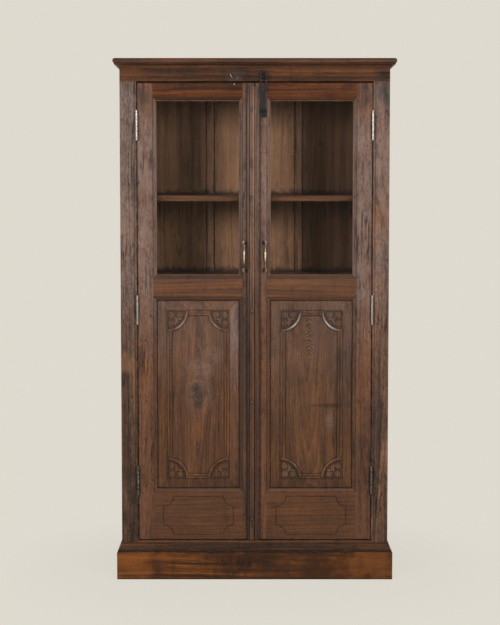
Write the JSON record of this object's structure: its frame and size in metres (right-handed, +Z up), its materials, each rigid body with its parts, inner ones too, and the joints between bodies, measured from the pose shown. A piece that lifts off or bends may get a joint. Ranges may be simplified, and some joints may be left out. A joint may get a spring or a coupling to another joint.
{
  "type": "glass-door cupboard",
  "caption": "Tall framed wooden cupboard with hinged doors, glazed above and carved below, with inner shelves, bow handles, butt hinges and a forged hasp over a staple.",
  "frame": {"origin": "on the floor, under the middle of the box that holds the whole cupboard", "axes": "+Z up, -Y to the front where the doors open, +X to the right seen from the front"},
  "size_m": [0.984, 0.434, 1.83],
  "materials": {
    "rail_wood": "worn oil finish",
    "upright_wood": "worn oil finish",
    "panel_wood": "worn oil finish",
    "moulding_wood": "worn oil finish",
    "inner_wood": "worn oil finish",
    "glass": "clear float",
    "iron": "forged, rusted",
    "brass": "worn, tarnished",
    "hinge_steel": "dull, spotted"
  },
  "bodies": {
    "carcass": {"back_frame_rails": "inner_wood", "back_muntins": "inner_wood", "back_panels": "inner_wood", "back_post_left": "upright_wood", "back_post_right": "upright_wood", "base_moulding_front": "moulding_wood", "base_moulding_left": "moulding_wood", "base_moulding_right": "moulding_wood", "bottom_board": "inner_wood", "cornice_front": "moulding_wood", "cornice_left": "moulding_wood", "cornice_right": "moulding_wood", "front_bottom_rail": "rail_wood", "front_post_left": "upright_wood", "front_post_right": "upright_wood", "front_top_rail": "rail_wood", "hasp_staple": "iron", "hinge_pins": "hinge_steel", "hinge_post_leaves": "hinge_steel", "hook_staple": "brass", "plinth_back": "moulding_wood", "plinth_front": "moulding_wood", "plinth_left": "moulding_wood", "plinth_right": "moulding_wood", "shelf_cleats": "inner_wood", "shelf_lower": "inner_wood", "shelf_middle": "inner_wood", "shelf_upper": "inner_wood", "side_panels_left": "panel_wood", "side_panels_right": "panel_wood", "side_rails_left": "rail_wood", "side_rails_right": "rail_wood", "top_board": "moulding_wood"},
    "door_left": {"door_left_bottom_rail": "rail_wood", "door_left_glass": "glass", "door_left_glazing_beads": "rail_wood", "door_left_handle": "brass", "door_left_hinge_leaves": "hinge_steel", "door_left_hinge_stile": "upright_wood", "door_left_lock_rail": "rail_wood", "door_left_meeting_stile": "upright_wood", "door_left_meeting_strip": "rail_wood", "door_left_panel": "panel_wood", "door_left_strip_nails": "hinge_steel", "door_left_top_rail": "rail_wood"},
    "door_right": {"door_right_bottom_rail": "rail_wood", "door_right_glass": "glass", "door_right_glazing_beads": "rail_wood", "door_right_handle": "brass", "door_right_hinge_leaves": "hinge_steel", "door_right_hinge_stile": "upright_wood", "door_right_lock_rail": "rail_wood", "door_right_meeting_stile": "upright_wood", "door_right_meeting_strip": "rail_wood", "door_right_panel": "panel_wood", "door_right_top_rail": "rail_wood", "hasp_plate": "iron", "hasp_pin": "iron"},
    "hasp": {"hasp": "iron"}
  },
  "joints": [
    {"name": "door_left_swing", "type": "hinge", "parent": "carcass", "child": "door_left", "pos_m": [-0.411, -0.1885, 0.943], "axis": [0, 0, -1], "range_deg": [0, 175]},
    {"name": "door_right_swing", "type": "hinge", "parent": "carcass", "child": "door_right", "pos_m": [0.411, -0.1885, 0.943], "axis": [0, 0, 1], "range_deg": [0, 175]},
    {"name": "hasp_swing", "type": "hinge", "parent": "door_right", "child": "hasp", "pos_m": [0.03025, -0.188, 1.648], "axis": [1, 0, 0], "range_deg": [0, 170]}
  ]
}
